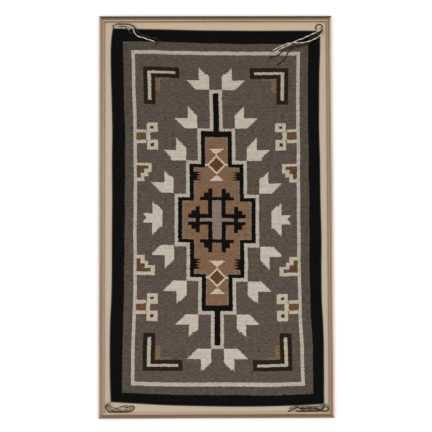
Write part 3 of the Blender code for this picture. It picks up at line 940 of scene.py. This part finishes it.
def buildRug():
    low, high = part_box("rug")
    columns = web["warps"] * web["pointsPerWarp"] + 1
    rows = round((high[1] - low[1]) / mm / web["rowStep"]) + 1
    warp, row = np.meshgrid(np.linspace(-halfWarps, halfWarps, columns),
                            np.linspace(*lastRows, rows))
    x, y = layChart(warp, row)
    wide, long, short = web["waves"]
    wave = web["wave"] * (np.sin(x * wide + np.sin(y * long) * 2) * np.sin(y * short + 0.7))
    z = high[2] - web["ribHeight"] - web["wave"] + wave
    source = closedSheet(
        "rug_base", np.stack([x * mm, y * mm, z], axis=-1), low[2],
        np.stack([warp, row], axis=-1))
    piece = applyTree(source, ribTree(), {
        "Rib Height": web["ribHeight"],
        "Base Height": (low[2] + high[2]) / 2,
        "Material": rugMaterial(),
    }, "woven_rug")
    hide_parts("rug")
    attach(piece, "root")
    return piece


rug = buildRug()
print("rug is woven:", len(rug.data.polygons), "faces")


# Edge cords

cords = {
    "diameter": 5.0,
    "step": 1.5 * mm,
    "strands": 2,
    "strandRadius": 1.3 * mm,
    "strandOffset": 1.65 * mm,
    "layLength": 14 * mm,
    "strandSides": 9,
    "pointStep": 12,
    "cornerGap": 0.3,
    "tones": ("#1c1a19", "#0f0e0e"),
    "fleck": 1.4 * mm,
}
cordReach = cords["strandRadius"] + cords["strandOffset"]


def yarnMaterial(name, tones, fleckSize):
    # Handspun wool yarn: matt fibres with a soft sheen, uneven in tone from the carding
    material, tree, shader = newMaterial(
        name, Roughness=0.95, IOR=1.54, Specular_IOR_Level=0.12)
    place = addNode(tree, "TexCoord").outputs["Object"]
    fibres = addNode(
        tree, "TexNoise",
        {"Vector": place, "Scale": 1 / fleckSize, "Detail": 4.0, "Roughness": 0.65})
    level = addNode(tree, "MapRange", {"Value": fibres, **span(0.35, 0.65)})
    pale, dark = tones
    colour = addNode(tree, "Mix", {0: level, 6: linear(dark), 7: linear(pale)}, data_type="RGBA")
    dress(tree, shader, colour.outputs[2], fibres, 0.5, 0.2 * mm)
    return material


def pathCurve(name, points):
    curve = bpy.data.curves.new(name, "CURVE")
    curve.dimensions = "3D"
    spline = curve.splines.new("POLY")
    spline.points.add(len(points) - 1)
    for spot, place in zip(spline.points, points):
        spot.co = (*place, 1.0)
    return newObject(name, curve)


def placesBetween(start, end, step):
    count = max(2, round(abs(end - start) / step))
    return np.linspace(start, end, count + 1)


def buildEdgeCords(tree):
    material = yarnMaterial("black_twined_wool", cords["tones"], cords["fleck"])
    radius = cords["diameter"] / 2
    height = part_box("side_cord_left")[0][2] + cordReach
    made = []
    for side, inwards in (("left", radius), ("right", -radius)):
        ys = placesBetween(
            cornerOf(side, "bottom")[1], cornerOf(side, "top")[1], cords["pointStep"])
        made.append(("side_cord_" + side, smoothAt(sides, side, ys) + inwards, ys))
    for end, inwards in (("top", -radius), ("bottom", radius)):
        trim = cords["diameter"] + cords["cornerGap"]
        xs = placesBetween(
            cornerOf("left", end)[0] + trim, cornerOf("right", end)[0] - trim, cords["pointStep"])
        made.append(("end_cord_" + end, xs, smoothAt(ends, end, xs) + inwards))
    pieces = []
    for name, xs, ys in made:
        points = [(x * mm, y * mm, height) for x, y in zip(xs, ys)]
        piece = applyTree(pathCurve(name + "_path", points), tree, {
            "Step": cords["step"],
            "Strands": cords["strands"],
            "Strand Radius": cords["strandRadius"],
            "Strand Offset": cords["strandOffset"],
            "Lay Length": cords["layLength"],
            "Phase": 0.0,
            "Strand Sides": cords["strandSides"],
            "Material": material,
        }, "twined_" + name)
        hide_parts(name)
        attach(piece, "root")
        pieces.append(piece)
    return pieces


twist = cordTree()
edgeCords = buildEdgeCords(twist)
print("edge cords are twined")


# Corner tassels: a knot's place, and each yarn's shade and route as (across, along, any rise)

tassel = {
    "yarnRadius": 1.6,
    "step": 1.1 * mm,
    "layLength": 20 * mm,
    "strandSides": 7,
    # radius and distance from the yarn's middle of its plies (mm), and each ply's shade
    "plies": {
        "pale": (0.88, 0.85, ["pale", "pale", "fawn"]),
        # the yarn of the bottom tassels is the pale yarn drawn greyer and darker: painted shade
        "shaded_pale": (1.25, 1.1, ["shaded_pale", "brown", "fawn"]),
        "olive": (1.2, 1.1, ["fawn", "brown", "fawn"]),
        "dark": (0.95, 0.9, ["dark", "dark", "brown"]),
    },
    "shades": {
        "pale": ("#dcd2c0", "#bdb2a0"),
        "dark": ("#30271f", "#1c1713"),
        "brown": ("#4e4130", "#372d22"),
        "fawn": ("#8f826f", "#6f6352"),
        # a darker copy of the pale yarn's tones, as painted shade
        "shaded_pale": ("#a39881", "#857a65"),
    },
    "fleck": 1.2 * mm,
    "routeStep": 7,
    "gap": 0.3,
    "knotSize": (10, 8),  # width and height
    "knotTurn": 0.4,
    "knotPoints": 36,
}
routes = {
    "tassel_top_left": ((-298.2, 555.9), [
        ("pale", [(-286.7, 552.3), (-272.7, 551.3), (-262.6, 549.3), (-252.6, 543.8)]),
        ("dark", [(-287.7, 556.4), (-276.7, 555.5), (-266.7, 553.4, 3.6), (-259.6, 547.3, 3.6),
                  (-253.6, 539.8), (-242.6, 531.8)]),
        ("pale", [(-288.7, 559.4), (-276.7, 559.2), (-266.7, 558.7), (-254.6, 555.4),
                  (-243.1, 548.8), (-237.6, 537.8), (-228.6, 526.8), (-213.5, 522.3),
                  (-196.5, 516.3), (-178.4, 510.7)]),
        ("dark", [(-289.7, 562.4), (-270.7, 562.9), (-251.6, 561.9), (-239.6, 555.4),
                  (-231.6, 545.8), (-221.5, 532.8), (-206.5, 527.8), (-190.4, 522.8),
                  (-171.4, 517.8), (-167.4, 507.7), (-177.4, 499.7)]),
    ]),
    "tassel_top_right": ((311.9, 546.3), [
        ("dark", [(313.9, 552.8), (310.9, 558.4), (304.9, 560.9), (297.9, 558.4), (293.9, 551.8),
                  (295.9, 545.3)]),
        ("pale", [(302.9, 540.3), (284.8, 531.8), (267.8, 524.3), (253.7, 517.8),
                  (238.7, 512.2, 2), (224.7, 504.2, 3.6), (207.6, 495.7, 1.6), (192.6, 489.7),
                  (180.5, 482.2), (172.5, 474.6)]),
        ("pale", [(319.9, 542.8), (315.9, 533.8), (305.9, 526.8), (294.9, 519.3),
                  (281.8, 512.7, 3.6), (268.8, 508.2, 3.6), (255.8, 506, 2), (243.7, 505.7),
                  (228.7, 506.2), (211.6, 503.7), (198.6, 498.7), (183.6, 492.2),
                  (167.5, 482.7)]),
        ("dark", [(304.9, 536.8), (290.8, 527.8), (277.8, 518.3), (266.8, 508.7), (255.8, 501.7),
                  (243.7, 498.7), (229.7, 494.7), (215, 490), (204, 485.5), (195, 479),
                  (186, 472), (176.5, 467), (166, 463), (155.5, 459)]),
        ("dark", [(307.9, 534.8), (294.9, 523.8), (281.8, 513.2), (269.8, 503.7), (257.8, 496.7),
                  (243.7, 494.2), (229.7, 490.2), (217, 483.7), (211, 474.6), (206.8, 464.6),
                  (199.6, 454), (190, 446.2), (180, 440.5)]),
    ]),
    "tassel_bottom_left": ((-311.3, -543.1), [
        ("dark", [(-319.3, -547.1), (-318.8, -556.1), (-311.8, -563.7), (-297.7, -566),
                  (-281.7, -566), (-266.7, -566), (-252.6, -564.7), (-241.6, -560.1),
                  (-237.6, -553.6), (-243.6, -549.6), (-253.6, -551.6), (-263.6, -554.6)]),
        ("shaded_pale", [(-314.3, -551.1), (-308.3, -558.1), (-297.7, -561.5), (-281.7, -561.8),
                  (-266.7, -561.4), (-253.6, -559.1), (-244.1, -555.1)]),
        ("shaded_pale", [(-306.8, -549.1), (-299.7, -553.6), (-289.7, -556.6), (-278.7, -553.1),
                  (-267.7, -549.6), (-257.6, -547.6)]),
    ]),
    "tassel_bottom_right": ((314.9, -549.6), [
        ("olive", [(304.9, -549.9), (290.8, -553.1), (272.8, -553.1), (257.8, -553.1),
                  (243.7, -553.1), (231.7, -551.6), (221.7, -554.1), (210.6, -558.6)]),
        ("dark", [(320.9, -555.6), (321.4, -561.2), (316.4, -565.5), (309.9, -565.7, 2),
                  (302.9, -563.7, 3.8), (295.9, -560.1, 3.8), (288.8, -558.1, 2),
                  (276.8, -556.9), (263.8, -557.7), (250.7, -558.3), (240.7, -557.9),
                  (232.2, -555.9), (224.7, -559.1), (214.6, -563.7), (205.6, -565.7)]),
        ("olive", [(308.9, -553.6), (300.9, -557.6), (288.8, -561.8), (276.8, -561),
                  (263.8, -561.8), (250.7, -562.3), (239.7, -562)]),
        ("dark", [(309.9, -556.6), (301.9, -562.2), (291.8, -565.5), (277.8, -565.2),
                  (264.8, -565.8), (250.7, -566), (237.7, -565.8), (227.7, -564.2)]),
    ]),
}
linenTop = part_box("linen_panel")[1][2] / mm
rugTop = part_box("rug")[1][2] / mm
cordTop = (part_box("side_cord_left")[0][2] + 2 * cordReach) / mm


def smoothRoute(points, step):  # points a step apart on a smooth curve through a route's own
    made = []
    for i in range(len(points) - 1):
        start, end = points[i], points[i + 1]
        before, after = points[max(i - 1, 0)], points[min(i + 2, len(points) - 1)]
        count = max(1, round(math.dist(start, end) / step))
        for t in (k / count for k in range(count)):
            made.append(tuple(
                0.5 * (2 * b + (c - a) * t + (2 * a - 5 * b + 4 * c - d) * t ** 2
                       + (3 * b - a - 3 * c + d) * t ** 3)
                for a, b, c, d in zip(before, start, end, after)
            ))
    made.append(tuple(points[-1]))
    return made


def surfaceUnder(x, y):
    margin = 2 * tassel["yarnRadius"]
    inside = min(
        x - float(smoothAt(sides, "left", y)),
        float(smoothAt(sides, "right", y)) - x,
        y - float(smoothAt(ends, "bottom", x)),
        float(smoothAt(ends, "top", x)) - y,
    )
    if inside < -margin:
        return linenTop
    return cordTop if inside < cords["diameter"] + margin else rugTop


def yarnPoints(knot, route, thick):
    places = [(x, y, *(rise or [0])) for x, y, *rise in [knot, *route]]
    flat = smoothRoute(places, tassel["routeStep"])
    under = [surfaceUnder(x, y) for x, y, rise in flat]
    points = []
    for i, (x, y, rise) in enumerate(flat):
        highest = max(under[max(i - 1, 0):i + 2])
        points.append((x * mm, y * mm, (highest + tassel["gap"] + thick + rise) * mm))
    return points


def knotPoints(centre, turn):  # an overhand knot, drawn tight
    points = []
    count = tassel["knotPoints"]
    width, height = (size / 2 - tassel["yarnRadius"] for size in tassel["knotSize"])
    for i in range(count + 1):
        a = 2 * math.pi * i / count
        reach = width / 3 * (2 + math.cos(3 * a))
        points.append((
            centre[0] + reach * math.cos(2 * a + turn) * mm,
            centre[1] + reach * math.sin(2 * a + turn) * mm,
            centre[2] + height * math.sin(3 * a) * mm,
        ))
    return points


def buildTassels(tree):
    shades = {
        shade: yarnMaterial(shade + "_handspun_yarn", tones, tassel["fleck"])
        for shade, tones in tassel["shades"].items()
    }
    turn = tassel["knotTurn"]
    pieces = []
    for name, (knot, yarns) in routes.items():
        centre = (knot[0] * mm, knot[1] * mm,
                  (linenTop + tassel["gap"] + tassel["knotSize"][1] / 2) * mm)
        strands = []
        for number, (shade, route) in enumerate(yarns):
            points = yarnPoints(knot, route, sum(tassel["plies"][shade][:2]))
            strands.append((f"{name}_yarn_{number}", shade, [centre, *points[1:]]))
        strands.append((name + "_knot_a", "dark", knotPoints(centre, turn)))
        strands.append((name + "_knot_b", "pale", knotPoints(centre, turn + math.pi / 3)))
        parts = []
        for label, shade, points in strands:
            radius, offset, plyShades = tassel["plies"][shade]
            for ply, plyShade in enumerate(plyShades):
                parts.append(applyTree(pathCurve(label + "_path", points), tree, {
                    "Step": tassel["step"],
                    "Strands": 1,
                    "Strand Radius": radius * mm,
                    "Strand Offset": offset * mm,
                    "Lay Length": tassel["layLength"],
                    "Phase": 2 * math.pi * ply / len(plyShades),
                    "Strand Sides": tassel["strandSides"],
                    "Material": shades[plyShade],
                }, f"{label}_ply_{ply}"))
        with bpy.context.temp_override(
                active_object=parts[0], object=parts[0], selected_objects=parts,
                selected_editable_objects=parts):
            bpy.ops.object.join()
        piece = parts[0]
        piece.name = "yarn_" + name
        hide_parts(name)
        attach(piece, "root")
        pieces.append(piece)
    return pieces


tassels = buildTassels(twist)
print("tassels are knotted")
